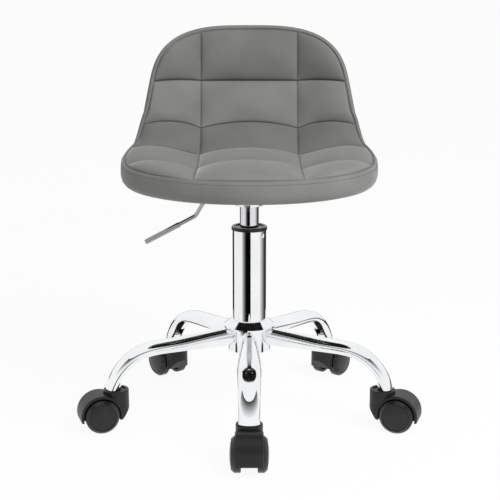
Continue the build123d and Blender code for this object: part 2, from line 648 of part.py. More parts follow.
def centre_line(travel):
    """Y and Z of a point along the seat's centre line, and the direction out of the padding there."""
    angle = min(max((travel - FLAT_L) / SEAT_BEND_R, 0.0), TURN)
    before = min(travel, FLAT_L)
    after = max(travel - FLAT_L - BEND_L, 0.0)
    y = before - SEAT_FRONT + SEAT_BEND_R * math.sin(angle) + after * math.cos(angle)
    z = SEAT_LINE + SEAT_BEND_R * (1 - math.cos(angle)) + after * math.sin(angle)
    return y, z, -math.sin(angle), math.cos(angle)


def half_width(travel):
    """Half of the seat's outline: round front, waist, and a rounded top."""
    seat, waist, back = SEAT_W / 2, WAIST_W / 2, BACK_W / 2
    if travel < WIDEST_AT:
        out = 1 - travel / WIDEST_AT
        width = seat * (1 - out ** FRONT_ROUNDNESS) ** (1 / FRONT_ROUNDNESS)
    elif travel < WAIST_AT:
        width = seat + (waist - seat) * eased((travel - WIDEST_AT) / (WAIST_AT - WIDEST_AT))
    elif travel < SHOULDER_AT:
        width = waist + (back - waist) * eased((travel - WAIST_AT) / (SHOULDER_AT - WAIST_AT))
    else:
        out = min((travel - SHOULDER_AT) / (SEAT_L - SHOULDER_AT), 1.0)
        width = back * (1 - out ** TOP_ROUNDNESS) ** (1 / TOP_ROUNDNESS)
    return max(width, END_FLAT_W / 2)


def side_rise(travel, x):
    """How far the seat's surface has risen out of the centre line at a distance to the side."""
    width = half_width(travel)
    bend_done = eased((travel - FLAT_L) / (BEND_L * DISH_FULL_AT))
    dish = BACK_DISH * bend_done * (2 * x / WAIST_W) ** 2
    seam = column_seam(travel)
    past_seam = max(abs(x) - seam, 0.0) / (width - seam)
    lift = SEAT_LIFT * eased((travel - LIFT_FROM) / (LIFT_TO - LIFT_FROM)) * (1 - bend_done)
    return dish + lift * past_seam ** 2


def column_seam(travel):
    return min(COLUMN_SEAM, half_width(travel) * END_SEAM_SHARE)


def pad_crown(travel):
    """Height of the pads over their seams."""
    for start, end in zip(ROW_ENDS, ROW_ENDS[1:]):
        if start <= travel <= end:
            part = (travel - start) / (end - start)
            rise = max(4 * part * (1 - part), 0.0) ** PAD_FULLNESS
            return PAD_SEAM_CROWN + (PAD_CROWN - PAD_SEAM_CROWN) * rise
    return PAD_SEAM_CROWN


def seat_point(travel, x, out):
    """Point at a distance to the side and a distance out of the centre line."""
    y, z, out_y, out_z = centre_line(travel)
    return (x, y + out_y * out, z + out_z * out)


def surface_arc(travel, start, end, level, crown):
    """Arc across the seat between two distances to the side, bowed out by crown."""
    middle = (start + end) / 2
    ends = [level + side_rise(travel, x) for x in (start, end)]
    top = level + side_rise(travel, middle) + crown
    return ThreePointArc(seat_point(travel, start, ends[0]), seat_point(travel, middle, top),
                         seat_point(travel, end, ends[1]))


def pad_section(travel):
    """Padded outline: three crowned pads in front, a drawn-in rim and a plain back."""
    width = half_width(travel)
    seam = column_seam(travel)
    from_end = min(travel, SEAT_L - travel)
    rounding = 1 - math.sqrt(1 - max(1 - from_end / RIM_END, 0.0) ** 2)
    depth = RIM_DEPTH + (BACK_RIM_DEPTH - RIM_DEPTH) * eased((travel - FLAT_L) / BEND_L)
    front = -SEAM_DROP - RIM_END_DRAW * rounding
    back = -SEAM_DROP - depth + RIM_END_DRAW * rounding
    crown = pad_crown(travel) * min(from_end / RIM_END, 1.0) + SEAM_DROP * (1 - rounding) + LEAST_BOW
    tucked = width - RIM_TUCK
    edge = side_rise(travel, width)
    sides = [(seat_point(travel, side * width, edge + front),
              seat_point(travel, side * (width + RIM_BULGE), edge + (front + back) / 2),
              seat_point(travel, side * tucked, edge + back)) for side in (-1, 1)]
    edges = [surface_arc(travel, -width, -seam, front, crown * SIDE_PAD_SHARE),
             surface_arc(travel, -seam, seam, front, crown),
             surface_arc(travel, seam, width, front, crown * SIDE_PAD_SHARE),
             ThreePointArc(*sides[1]),
             ThreePointArc(sides[1][2], seat_point(travel, 0, back - LEAST_BOW), sides[0][2]),
             ThreePointArc(*reversed(sides[0]))]
    return Wire([arc.edge() for arc in edges])


def layer_section(travel, inset, top, bottom):
    """Outline of a layer inside the rim, between two levels out of the centre line."""
    width = half_width(travel) - inset
    seam = min(column_seam(travel), width * END_SEAM_SHARE)
    marks = (-width, -seam, seam, width)
    rise = side_rise(travel, width)
    spans = list(zip(marks, marks[1:]))
    edges = [surface_arc(travel, start, end, top, -LEAST_BOW) for start, end in spans]
    edges.append(Line(seat_point(travel, width, rise + top), seat_point(travel, width, rise + bottom)))
    edges += [surface_arc(travel, end, start, bottom, -LEAST_BOW) for start, end in reversed(spans)]
    edges.append(Line(seat_point(travel, -width, rise + bottom), seat_point(travel, -width, rise + top)))
    return Wire([edge.edge() for edge in edges])


def pad_stations():
    """Places along the centre line where pad sections are drawn, closer at the ends and the seams."""
    last = len(ROW_ENDS) - 2
    step = math.pi / 2 / END_SECTIONS
    from_tip = [1 - math.cos(step * count) for count in range(END_SECTIONS)]
    stations = []
    for row, (start, end) in enumerate(zip(ROW_ENDS, ROW_ENDS[1:])):
        if row == 0:
            parts = from_tip + [PAD_SECTIONS[-1]]
        elif row == last:
            parts = [0, PAD_SECTIONS[0]] + [1 - part for part in reversed(from_tip)]
        else:
            parts = [0, *PAD_SECTIONS]
        stations += [start + (end - start) * part for part in parts]
    return stations


def layer(inset, top, bottom):
    """A layer inside the rim, its sections closer together towards both ends."""
    middle, reach = SEAT_L / 2, SEAT_L / 2 - inset
    angles = [math.pi * step / (LAYER_SECTIONS - 1) for step in range(LAYER_SECTIONS)]
    sections = [layer_section(middle - reach * math.cos(angle), inset, top, bottom) for angle in angles]
    return Solid.make_loft(sections)


def seat_pad():
    blank = Solid.make_loft([pad_section(travel) for travel in pad_stations()])
    pocket = layer(RIM_W, -FOAM_T, -FOAM_T - 3 * RIM_DEPTH)
    pad = blank - pocket
    for x, y in BOLT_PLACES:
        pad -= post(TEE_NUT_D + 2 * REST_GAP, SHELL_BOTTOM, SHELL_TOP + TEE_NUT_FLANGE + 2 * LAYER_GAP, x, y)
    return pad


def drilled(shape, diameter):
    for x, y in BOLT_PLACES:
        shape -= post(diameter, 0, 2 * SEAT_LINE, x, y)
    return shape


LAYER_INSET = RIM_W + LAYER_GAP
SHELL_LAYER = layer(LAYER_INSET, -FOAM_T - SHELL_TOP_GAP, -FOAM_T - SHELL_SPACE)
COVER_LAYER = layer(LAYER_INSET, -FOAM_T - SHELL_SPACE - LAYER_GAP, -FOAM_T - SHELL_SPACE - COVER_T)

save("seat_pad", seat_pad())
save("seat_shell", drilled(SHELL_LAYER, TEE_NUT_BARREL_D + 2 * FIXED_GAP))
save("rear_cover", drilled(COVER_LAYER, BOLT_HOLE_D))
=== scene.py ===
import math

import bmesh
import bpy
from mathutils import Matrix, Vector


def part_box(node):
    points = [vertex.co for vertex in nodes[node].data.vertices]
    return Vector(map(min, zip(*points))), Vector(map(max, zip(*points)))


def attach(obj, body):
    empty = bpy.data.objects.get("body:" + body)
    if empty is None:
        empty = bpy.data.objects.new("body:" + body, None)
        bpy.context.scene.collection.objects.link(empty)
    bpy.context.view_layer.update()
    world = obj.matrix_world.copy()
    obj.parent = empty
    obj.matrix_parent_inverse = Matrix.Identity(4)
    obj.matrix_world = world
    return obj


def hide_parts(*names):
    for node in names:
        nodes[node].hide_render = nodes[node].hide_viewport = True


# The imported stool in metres: Z up, the column on the Z axis, the seat's front towards -Y.
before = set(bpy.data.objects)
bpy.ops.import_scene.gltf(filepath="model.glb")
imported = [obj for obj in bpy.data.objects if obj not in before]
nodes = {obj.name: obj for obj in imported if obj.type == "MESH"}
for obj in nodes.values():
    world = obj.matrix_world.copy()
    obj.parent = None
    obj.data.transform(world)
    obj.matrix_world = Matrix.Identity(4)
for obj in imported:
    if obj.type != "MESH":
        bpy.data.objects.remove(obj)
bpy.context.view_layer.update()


# Caster bodies: one-piece hoods of glass-filled nylon, moulded with a fine spark-eroded grain that
# breaks up the shine. Each turns on a steel stem. The melt's flow leaves them faintly paler in places.

LEG_NAMES = ("front", "front_right", "rear_right", "rear_left", "front_left")
CLOUD_LOW = 0.25                    # most of a cloudy pattern lies between these
CLOUD_HIGH = 0.75


class Pattern:
    """An output of a finish's nodes. Sums of patterns add the nodes that work them out."""

    def __init__(self, tree, socket):
        self.tree = tree
        self.socket = socket

    def node(self, kind, settings, inputs, output=0):
        """Add a node, make its settings, then fill its sockets with values or other patterns."""
        made = self.tree.nodes.new("ShaderNode" + kind)
        for name, value in settings.items():
            if name == "stops":
                ramp = made.color_ramp
                while len(ramp.elements) < len(value):
                    ramp.elements.new(1.0)
                for element, (place, colour) in zip(ramp.elements, value):
                    element.position = place
                    element.color = colour
            else:
                setattr(made, name, value)
        self.fill(made, inputs)
        return Pattern(self.tree, made.outputs[output])

    def fill(self, target, inputs):
        """Give a node's sockets their values or links."""
        for name, value in inputs.items():
            if isinstance(value, Pattern):
                self.tree.links.new(value.socket, target.inputs[name])
            else:
                target.inputs[name].default_value = value

    def maths(self, operation, first, second):
        return self.node("Math", {"operation": operation}, {0: first, 1: second})

    def __add__(self, other):
        return self.maths("ADD", self, other)

    def __mul__(self, other):
        return self.maths("MULTIPLY", self, other)

    def __pow__(self, other):
        return self.maths("POWER", self, other)

    __radd__ = __add__
    __rmul__ = __mul__

    def noise(self, size, detail=2.0, stretch=(1.0, 1.0, 1.0)):
        """Cloudy pattern from 0 to 1 whose blotches are about size metres across."""
        scaled = self.node("Mapping", {}, {"Vector": self, "Scale": [part / size for part in stretch]})
        return self.node("TexNoise", {}, {"Vector": scaled, "Scale": 1.0, "Detail": detail})

    def between(self, low, high):
        """Spread the pattern over a range of plain numbers."""
        return low + (high - low) * self

    def tint(self, dark, light):
        """Run from one colour to another with the pattern."""
        stops = [(CLOUD_LOW, dark), (CLOUD_HIGH, light)]
        return self.node("ValToRGB", {"stops": stops}, {"Fac": self})

    def bump(self, height, strength=1.0):
        """Surface relief of the pattern, height metres from its lowest to its highest."""
        return self.node("Bump", {}, {"Height": self, "Distance": height, "Strength": strength})


def srgb(red, green, blue):
    """Colour written as it shows on a screen, from 0 to 255."""
    parts = [part / 255 for part in (red, green, blue)]
    return [part / 12.92 if part <= 0.04045 else ((part + 0.055) / 1.055) ** 2.4 for part in parts] + [1.0]


def start_finish(name):
    """A new material, the Object coordinates for its patterns, and its shader."""
    material = bpy.data.materials.new(name)
    material.use_nodes = True
    tree = material.node_tree
    place = Pattern(tree, None).node("TexCoord", {}, {}, "Object")
    return material, place, tree.nodes["Principled BSDF"]


def paint(material, *names):
    """Give CAD nodes a finish in place of their plain one."""
    for name in names:
        slots = nodes[name].data.materials
        slots.clear()
        slots.append(material)


NYLON_DARK = srgb(20, 20, 21)
NYLON_LIGHT = srgb(31, 31, 32)
NYLON_GRAIN = 0.0007
NYLON_RELIEF = 0.00006              # height of the grain
NYLON_FLOW = 0.012


def moulded_nylon():
    material, place, shader = start_finish("moulded_nylon")
    grain = place.noise(NYLON_GRAIN, detail=3.0)
    flow = place.noise(NYLON_FLOW)
    place.fill(shader, {
        "Base Color": flow.tint(NYLON_DARK, NYLON_LIGHT),
        "Roughness": grain.between(0.34, 0.5),
        "Normal": grain.bump(NYLON_RELIEF),
        "Specular IOR Level": 0.35,
    })
    return material


paint(moulded_nylon(), *[f"caster_{name}_body" for name in LEG_NAMES])


# Caster wheels and axles: smoother nylon wheels with a domed disc in the face, lightly scuffed in
# use, two to an axle pin of bright drawn steel.

WHEEL_BLACK = srgb(17, 17, 18)
WHEEL_SCUFFED = srgb(38, 37, 36)
WHEEL_SCUFF = 0.004
WHEEL_GRAIN = 0.0009
WHEEL_RELIEF = 0.00003


def wheel_nylon():
    material, place, shader = start_finish("wheel_nylon")
    scuffs = place.noise(WHEEL_SCUFF, detail=4.0)
    grain = place.noise(WHEEL_GRAIN)
    place.fill(shader, {
        "Base Color": (scuffs ** 2.0).tint(WHEEL_BLACK, WHEEL_SCUFFED),
        "Roughness": scuffs.between(0.22, 0.42),
        "Normal": grain.bump(WHEEL_RELIEF),
        "Specular IOR Level": 0.45,
    })
    return material


STEEL_DARK = srgb(150, 151, 154)
STEEL_LIGHT = srgb(196, 197, 199)
DRAWN_LINES = 0.0015
DRAWN_UPRIGHT = (1.0, 1.0, 0.08)    # the lines run along Z


def bright_steel():
    material, place, shader = start_finish("drawn_steel")
    drawn = place.noise(DRAWN_LINES, detail=3.0, stretch=DRAWN_UPRIGHT)
    place.fill(shader, {
        "Base Color": drawn.tint(STEEL_DARK, STEEL_LIGHT),
        "Roughness": drawn.between(0.2, 0.36),
        "Metallic": 1.0,
    })
    return material


drawn_steel = bright_steel()
paint(wheel_nylon(), *[f"caster_{name}_wheel_{side}" for name in LEG_NAMES for side in "ab"])
paint(drawn_steel, *[f"caster_{name}_axle" for name in LEG_NAMES])


# Base: five bent oval tubes welded to a turned hub, polished and chromed as one, with a pressed
# sleeve in each tube's end for the caster stem. The plating is mirror bright with a faint haze.

CHROME_TINT = srgb(246, 247, 248)
CHROME_HAZE = srgb(234, 235, 237)
HAZE_PATCH = 0.05
SMEAR_PATCH = 0.008


def chrome_plate():
    material, place, shader = start_finish("chrome_plate")
    haze = place.noise(HAZE_PATCH, detail=4.0)
    smear = place.noise(SMEAR_PATCH)
    place.fill(shader, {
        "Base Color": haze.tint(CHROME_TINT, CHROME_HAZE),
        "Roughness": (haze * smear).between(0.02, 0.12),
        "Metallic": 1.0,
    })
    return material


chrome = chrome_plate()
paint(chrome, "base_hub", "caster_sockets", *[f"leg_{name}" for name in LEG_NAMES])
paint(drawn_steel, "caster_stems")


# Column: a chromed steel tube pressed into the hub, closed by a shiny black moulded cap, with a
# white plastic guide bush and the ball bearing that the seat turns on inside it.

CAP_BLACK = srgb(14, 14, 15)
CAP_WORN = srgb(26, 26, 27)
CAP_WEAR = 0.003
BUSH_PALE = srgb(214, 212, 204)
BUSH_SHADE = srgb(196, 194, 186)
BUSH_FLOW = 0.01


def shiny_plastic():
    material, place, shader = start_finish("shiny_plastic")
    wear = place.noise(CAP_WEAR, detail=3.0)
    place.fill(shader, {
        "Base Color": wear.tint(CAP_BLACK, CAP_WORN),
        "Roughness": wear.between(0.2, 0.3),
        "Specular IOR Level": 0.4,
    })
    return material


def guide_plastic():
    material, place, shader = start_finish("guide_plastic")
    flow = place.noise(BUSH_FLOW, detail=3.0)
    place.fill(shader, {
        "Base Color": flow.tint(BUSH_SHADE, BUSH_PALE),
        "Roughness": flow.between(0.3, 0.45),
    })
    return material


paint(chrome, "column_tube")
paint(shiny_plastic(), "column_cap")
pale_plastic = guide_plastic()
paint(pale_plastic, "guide_bush", "bearing_cage")
paint(drawn_steel, "bearing_lower_race", "bearing_upper_race", "bearing_balls")


# Gas spring: a ground and chromed cylinder that rises with the seat on a hard steel rod, with a
# plastic guide and piston inside. Grinding leaves fine rings, a little duller than the column.

GROUND_DARK = srgb(214, 215, 217)
GROUND_LIGHT = srgb(224, 225, 227)
GRINDING_RINGS = 0.0012
RINGS_ROUND = (0.02, 0.02, 1.0)     # the rings lie across Z
RUBBER_DARK = srgb(20, 20, 20)
RUBBER_LIGHT = srgb(36, 36, 35)
RUBBER_BLOOM = 0.004


def ground_chrome():
    material, place, shader = start_finish("ground_chrome")
    rings = place.noise(GRINDING_RINGS, detail=3.0, stretch=RINGS_ROUND)
    place.fill(shader, {
        "Base Color": rings.tint(GROUND_DARK, GROUND_LIGHT),
        "Roughness": rings.between(0.03, 0.06),
        "Metallic": 1.0,
    })
    return material


def bump_rubber():
    material, place, shader = start_finish("bump_rubber")
    bloom = place.noise(RUBBER_BLOOM, detail=4.0)
    place.fill(shader, {
        "Base Color": bloom.tint(RUBBER_DARK, RUBBER_LIGHT),
        "Roughness": bloom.between(0.6, 0.85),
    })
    return material


paint(ground_chrome(), "gas_cylinder", "piston_rod")
paint(pale_plastic, "rod_guide", "piston")
paint(bump_rubber(), "bump_stop")
paint(drawn_steel, "retaining_clip", "valve_pin")


# Seat plate: pressed steel pan and lever bracket, welded up and painted black, with a plated taper
# socket for the gas spring, held to the shell by four zinc-plated bolts with washers and T-nuts.

PAINT_BLACK = srgb(17, 17, 17)
PAINT_THIN = srgb(30, 30, 31)
PAINT_PATCH = 0.02
PAINT_PEEL = 0.0016
PEEL_RELIEF = 0.00004
ZINC_DARK = srgb(168, 170, 168)
ZINC_LIGHT = srgb(202, 205, 208)
ZINC_SPANGLE = 0.003


def black_paint():
    material, place, shader = start_finish("black_paint")
    peel = place.noise(PAINT_PEEL)
    thin = place.noise(PAINT_PATCH, detail=3.0)
    place.fill(shader, {
        "Base Color": thin.tint(PAINT_BLACK, PAINT_THIN),
        "Roughness": thin.between(0.3, 0.5),
        "Normal": peel.bump(PEEL_RELIEF),
    })
    return material


def zinc_plate():
    material, place, shader = start_finish("zinc_plate")
    spangle = place.noise(ZINC_SPANGLE, detail=3.0)
    place.fill(shader, {
        "Base Color": spangle.tint(ZINC_DARK, ZINC_LIGHT),
        "Roughness": spangle.between(0.25, 0.45),
        "Metallic": 1.0,
    })
    return material


paint(black_paint(), "seat_plate", "lever_bracket")
paint(chrome, "taper_socket")
paint(zinc_plate(), "seat_bolts", "bolt_washers", "tee_nuts", "lever_pivot_pin")


# Release lever: a bent steel rod with a steel sleeve pushed over its end as a grip. Both are plated
# with nickel, a little darker than chrome, and brushed along their length.

NICKEL_DARK = srgb(170, 171, 173)
NICKEL_LIGHT = srgb(182, 183, 185)
BRUSH_LINES = 0.0012
BRUSHED_ALONG = (0.06, 1.0, 0.12)   # the lines run along X and Z, as the lever does


def brushed_nickel():
    material, place, shader = start_finish("brushed_nickel")
    brushed = place.noise(BRUSH_LINES, detail=3.0, stretch=BRUSHED_ALONG)
    place.fill(shader, {
        "Base Color": brushed.tint(NICKEL_DARK, NICKEL_LIGHT),
        "Roughness": brushed.between(0.08, 0.13),
        "Metallic": 1.0,
    })
    return material


paint(brushed_nickel(), "lever_rod", "lever_grip")


# Seat shell: thin beech plywood, moulded to the seat's bend and bolted to the plate below. It is
# hidden between the cushion and the covers behind it.

PLY_DARK = srgb(166, 128, 86)
PLY_LIGHT = srgb(204, 168, 122)
PLY_GRAIN = 0.003
GRAIN_ALONG = (1.0, 0.06, 0.06)     # the grain runs front to back and up the back


def plywood():
    material, place, shader = start_finish("plywood")
    grain = place.noise(PLY_GRAIN, detail=4.0, stretch=GRAIN_ALONG)
    place.fill(shader, {
        "Base Color": grain.tint(PLY_DARK, PLY_LIGHT),
        "Roughness": grain.between(0.5, 0.7),
    })
    return material


paint(plywood(), "seat_shell")


# Seat cushion: velvet over foam, sewn through to the shell in three columns of five pads, with a
# padded border band all round. The cover is cut flat, bent to the shell and puffed up by its foam.

SHELL_AND_COVER = 0.0148            # from the steel plate up to the shell's upper face
FOAM = 0.010                        # foam left under the seams
SEAT_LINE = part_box("seat_plate")[1].z + SHELL_AND_COVER + FOAM
SEAT_W = 0.373
NARROW_HALF = SEAT_W / 4            # least half width that the rise of the sides is worked out for
BACK_TAPER = 0.051                  # how much closer each side would be at the top of the back
TAPER_START = 0.05                  # how softly that begins
SEAT_FRONT = 0.1867                 # front seam ahead of the column
BACK_CORNER = 0.118                 # seat line and back line meet this far behind the column
SEAT_BEND_R = 0.070
BACK_RISE = 0.189
BACK_LEAN = math.radians(12.5)
WIDEST_AT = 0.1865                  # along the centre line from the front seam
SHOULDER_AT = 0.3845
FRONT_ROUNDNESS = 2.1
TOP_ROUNDNESS = 2.99
SIDE_LIFT = 0.0177                  # rise of the seat's sides towards the back
LIFT_FROM = 0.12
LIFT_TO = 0.266
LIFT_REACH = 1.2                    # how far out the rise goes on, 1 for the cover's outline
BACK_DISH = 0.043                   # how far the back's sides come forward
DISH_W = 0.339                      # width of the back where they have come that far
COLUMN_SEAM = 0.075
BEND_TURN = math.pi / 2 - BACK_LEAN
BEND_SIDE = SEAT_BEND_R * math.tan(BEND_TURN / 2)
FLAT_L = SEAT_FRONT + BACK_CORNER - BEND_SIDE
BEND_L = SEAT_BEND_R * BEND_TURN
SEAT_L = FLAT_L + BEND_L + BACK_RISE / math.cos(BACK_LEAN) - BEND_SIDE
# Row seams along the centre line, with the cover's two ends, and their levels at the column seams
ROW_SEAMS = (0.0, 0.140, 0.250, 0.3145, 0.3945, SEAT_L)
SEAM_LEVELS = (0.0015, -0.003, 0.001, 0.004, -0.0045, 0.0015)
# Rise of each row seam between the column seams
SEAM_BOW = (0.0, 0.006, 0.005, 0.003, 0.001, 0.0)
# Its curve there towards the top of the back, and the share of that in the side columns
SEAM_ARC = (0.0, 0.004, 0.006, 0.0135, 0.001, 0.0)
SIDE_ARC = 0.6
# Swing of its outer ends, below 0 for towards the front
SEAM_ENDS = (0.0, 0.0, -0.022, -0.010, -0.005, 0.0)
ROW_CELLS = (30, 22, 20, 20, 20)    # mesh cells along each row of pads, front first
SIDE_CELLS = 24
MIDDLE_CELLS = 32
PAD_CROWN = (0.017, 0.016, 0.015, 0.010, 0.012)
SIDE_CROWN = (0.7, 0.8, 1.0, 1.0, 1.0)  # share of it that the side pads have
PAD_FULLNESS = 0.5                  # lower for fuller pads
SIDE_PAD_SKEW = 1.4                 # sets the side pads' crowns towards the border
PAD_INSET = 0.006                   # width of the narrow strip between the pads and the border band
RIM_DEPTH = 0.028                   # height of the border band round the seat
BACK_RIM_DEPTH = 0.021
BUNCHING = 0.6                      # how strongly the cells crowd towards the seams
HALVINGS = 30


def eased(value):
    """Run smoothly from 0 to 1 as value does."""
    value = min(max(value, 0.0), 1.0)
    return value * value * (3 - 2 * value)


def hump(part):
    """Run from 0 up to 1 halfway along and back to 0."""
    return 4 * part * (1 - part)


def side_line(travel):
    """Half of the cover's width from its widest place up, before the top is rounded."""
    up = max(travel - WIDEST_AT, 0.0) / (SEAT_L - WIDEST_AT)
    return SEAT_W / 2 - BACK_TAPER * up * up * (1 + TAPER_START) / (up + TAPER_START)


def half_width(travel):
    """Half of the cover's width."""
    if travel < WIDEST_AT:
        ahead = 1 - max(travel, 0.0) / WIDEST_AT
        return SEAT_W / 2 * (1 - ahead ** FRONT_ROUNDNESS) ** (1 / FRONT_ROUNDNESS)
    above = min(max((travel - SHOULDER_AT) / (SEAT_L - SHOULDER_AT), 0.0), 1.0)
    return side_line(travel) * (1 - above ** TOP_ROUNDNESS) ** (1 / TOP_ROUNDNESS)


def end_outline(at_top, angle, inset):
    """Point of a rounded end: angle 0 is at its side, a quarter turn is its tip."""
    power = 2 / (TOP_ROUNDNESS if at_top else FRONT_ROUNDNESS)
    rise = math.sin(angle) ** power
    travel = WIDEST_AT - (WIDEST_AT - inset) * rise
    if at_top:
        travel = SHOULDER_AT + (SEAT_L - inset - SHOULDER_AT) * rise
    return Vector(((side_line(travel) - inset) * math.cos(angle) ** power, travel))


def end_angle(at_top, side, inset):
    """Angle of the rounded end's outline at a distance to the side, found by halving."""
    low, high = 0.0, math.pi / 2
    for halving in range(HALVINGS):
        middle = (low + high) / 2
        if end_outline(at_top, middle, inset).x > side:
            low = middle
        else:
            high = middle
    return (low + high) / 2


def row_angle(at_top, travel, inset):
    """Angle of the rounded end's outline at the row seam that closes it off."""
    power = (TOP_ROUNDNESS if at_top else FRONT_ROUNDNESS) / 2
    if at_top:
        return math.asin(((travel - SHOULDER_AT) / (SEAT_L - inset - SHOULDER_AT)) ** power)
    return math.asin(((WIDEST_AT - travel) / (WIDEST_AT - inset)) ** power)


def bunched(part):
    """Crowd evenly spaced parts of a pad towards its two seams."""
    return part + BUNCHING * ((1 - math.cos(math.pi * part)) / 2 - part)


def row_arc(seam, out, middle):
    """How far a row seam curves towards the top of the back, part of the way across a pad."""
    arc = SEAM_ARC[seam] * hump(out)
    return arc if middle else arc * SIDE_ARC + SEAM_ENDS[seam] * out ** 2


def corner_patch(at_top, seam, out, inset):
    """Flat place in a corner pad. Seam runs from the outline to the row seam, out from the column seam."""
    row = ROW_SEAMS[-2] if at_top else ROW_SEAMS[1]
    row_end = row + (SEAM_ENDS[-2] if at_top else SEAM_ENDS[1])
    first = end_angle(at_top, COLUMN_SEAM, inset)
    last = row_angle(at_top, row_end, inset)
    middle = (first + last) / 2
    tip, corner, side = [end_outline(at_top, angle, inset) for angle in (first, middle, last)]
    inner = Vector((COLUMN_SEAM, row))
    level_side = Vector((side.x, row))
    along_tip = end_outline(at_top, first + (middle - first) * out, inset)
    along_side = end_outline(at_top, middle + (last - middle) * seam, inset)
    along_inner = tip.lerp(inner, seam)
    along_row = inner.lerp(level_side, out) + Vector((0.0, row_arc(-2 if at_top else 1, out, False)))
    ruled = along_tip.lerp(along_row, seam) + along_inner.lerp(along_side, out)
    return ruled - along_inner.lerp(corner.lerp(side, seam), out)


def flat_place(row, part, out, middle, inset):
    """Place on the flat cover. Part runs along a row, out across it, in the middle or a side column."""
    last = len(ROW_SEAMS) - 2
    across = (out + 1) / 2 if middle else out
    ends = [ROW_SEAMS[seam] + row_arc(seam, across, middle) for seam in (row, row + 1)]
    if middle:
        side = COLUMN_SEAM * out
        if row == 0:
            ends[0] = end_outline(False, end_angle(False, abs(side), inset), inset).y
        if row == last:
            ends[1] = end_outline(True, end_angle(True, abs(side), inset), inset).y
        return side, ends[0] + (ends[1] - ends[0]) * part
    if row == 0:
        return corner_patch(False, part, out, inset)
    if row == last:
        return corner_patch(True, 1 - part, out, inset)
    travel = ends[0] + (ends[1] - ends[0]) * part
    return COLUMN_SEAM + (half_width(travel) - inset - COLUMN_SEAM) * out, travel


def bend_to_shell(point):
    """Bend a flat point (side, travel, level) round the shell's seat and back."""
    side, travel, level = point
    angle = min(max((travel - FLAT_L) / SEAT_BEND_R, 0.0), BEND_TURN)
    before = min(travel, FLAT_L)
    after = max(travel - FLAT_L - BEND_L, 0.0)
    bend_done = eased((travel - FLAT_L) / BEND_L)
    side_column = max(half_width(travel), NARROW_HALF) - COLUMN_SEAM
    past_seam = min(max(abs(side) - COLUMN_SEAM, 0.0) / side_column, LIFT_REACH)
    lift = SIDE_LIFT * eased((travel - LIFT_FROM) / (LIFT_TO - LIFT_FROM)) * (1 - bend_done)
    out = level + BACK_DISH * bend_done * (2 * side / DISH_W) ** 2 + lift * past_seam ** 2
    sine, cosine = math.sin(angle), math.cos(angle)
    y = before - SEAT_FRONT + SEAT_BEND_R * sine + after * cosine - sine * out
    z = SEAT_LINE + SEAT_BEND_R * (1 - cosine) + after * sine + cosine * out
    return Vector((side, y, z))


def flat_cover(mesh, inset):
    """Add the cover's cut pieces, side by side. Returns each vertex's row and column parts."""
    across = 2 * SIDE_CELLS + MIDDLE_CELLS
    along = sum(ROW_CELLS)
    made = bmesh.ops.create_grid(mesh, x_segments=across, y_segments=along, size=1)
    parts = {}
    for vert in made["verts"]:
        column = round((vert.co.x + 1) / 2 * across)
        cell = round((vert.co.y + 1) / 2 * along)
        row = 0
        while row < len(ROW_CELLS) - 1 and cell >= ROW_CELLS[row]:
            cell -= ROW_CELLS[row]
            row += 1
        part = bunched(cell / ROW_CELLS[row])
        middle = SIDE_CELLS <= column <= SIDE_CELLS + MIDDLE_CELLS
        if middle:
            out = bunched((column - SIDE_CELLS) / MIDDLE_CELLS) * 2 - 1
            sign = 1
            across_part = (out + 1) / 2
        else:
            sign = -1 if column < SIDE_CELLS else 1
            steps = SIDE_CELLS - column if sign < 0 else column - SIDE_CELLS - MIDDLE_CELLS
            out = bunched(steps / SIDE_CELLS)
            across_part = out
        side, travel = flat_place(row, part, out, middle, inset)
        vert.co = (sign * side, travel, 0.0)
        parts[vert] = (row, part, across_part, middle)
    return parts


def outward(vert):
    """Direction out of the cover's edge at one of its boundary points."""
    ends = [edge.other_vert(vert).co for edge in vert.link_edges if edge.is_boundary]
    along = (ends[0] - ends[1]).to_2d().normalized()
    out = Vector((along.y, -along.x, 0.0))
    middle = Vector((0.0, SEAT_L / 2, 0.0))
    return out if out.dot(vert.co - middle) > 0 else -out


def rim_depth(travel):
    """Height of the border band, less at the back than round the seat."""
    return RIM_DEPTH + (BACK_RIM_DEPTH - RIM_DEPTH) * eased((travel - FLAT_L) / BEND_L)


def pad_level(row, part, across, middle):
    """Height of a pad over the cover's cut line, before the foam puffs it up."""
    over = hump(across if middle else across ** SIDE_PAD_SKEW)
    along = hump(part)
    seam = SEAM_LEVELS[row] + (SEAM_LEVELS[row + 1] - SEAM_LEVELS[row]) * part
    if not middle:
        seam += (SEAM_LEVELS[0] - seam) * across
    bow = SEAM_BOW[row] + (SEAM_BOW[row + 1] - SEAM_BOW[row]) * part
    crown = PAD_CROWN[row] * (1.0 if middle else SIDE_CROWN[row]) - (SEAM_BOW[row] + SEAM_BOW[row + 1]) / 2
    return seam + bow * over + crown * max(over * along, 0.0) ** PAD_FULLNESS


# Distance out from the pads' edge, and level, of the narrow rolled strip that is sewn on round the pads
STRIP_ROWS = ((0.0007, 0.0004), (0.0016, 0.0018), (0.0032, 0.0016), (0.0046, 0.0002), (0.0055, -0.0020),
              (0.0060, -0.0030))
# Distance out, and share of the band's depth, from the strip round to the pocket for the shell
BAND_ROWS = ((0.0066, 0.01), (0.0071, 0.1), (0.0075, 0.3), (0.0075, 0.5), (0.0062, 0.7),
             (0.0030, 0.86), (-0.0010, 0.96), (-0.0050, 1.0), (-0.0105, 0.985))
BAND_TOP = STRIP_ROWS[-1][1]
POCKET_ROWS = 3                     # rows at the end of the band, held by the shell
RIM_W = 0.017                       # from the outline in to the cushion's plain back
PAINTED_SEAM_SHADE = {"row": 1.0, "column": 0.6, "border": 0.5}     # how strongly each kind of seam is darkened: painted shade in its groove, with the thread's darker colour
ROW_PAINTED_SHADE = (0.06, 0.06, -0.12, 0.06, -0.1)   # painted shade of each row for how light falls on it, up for lighter
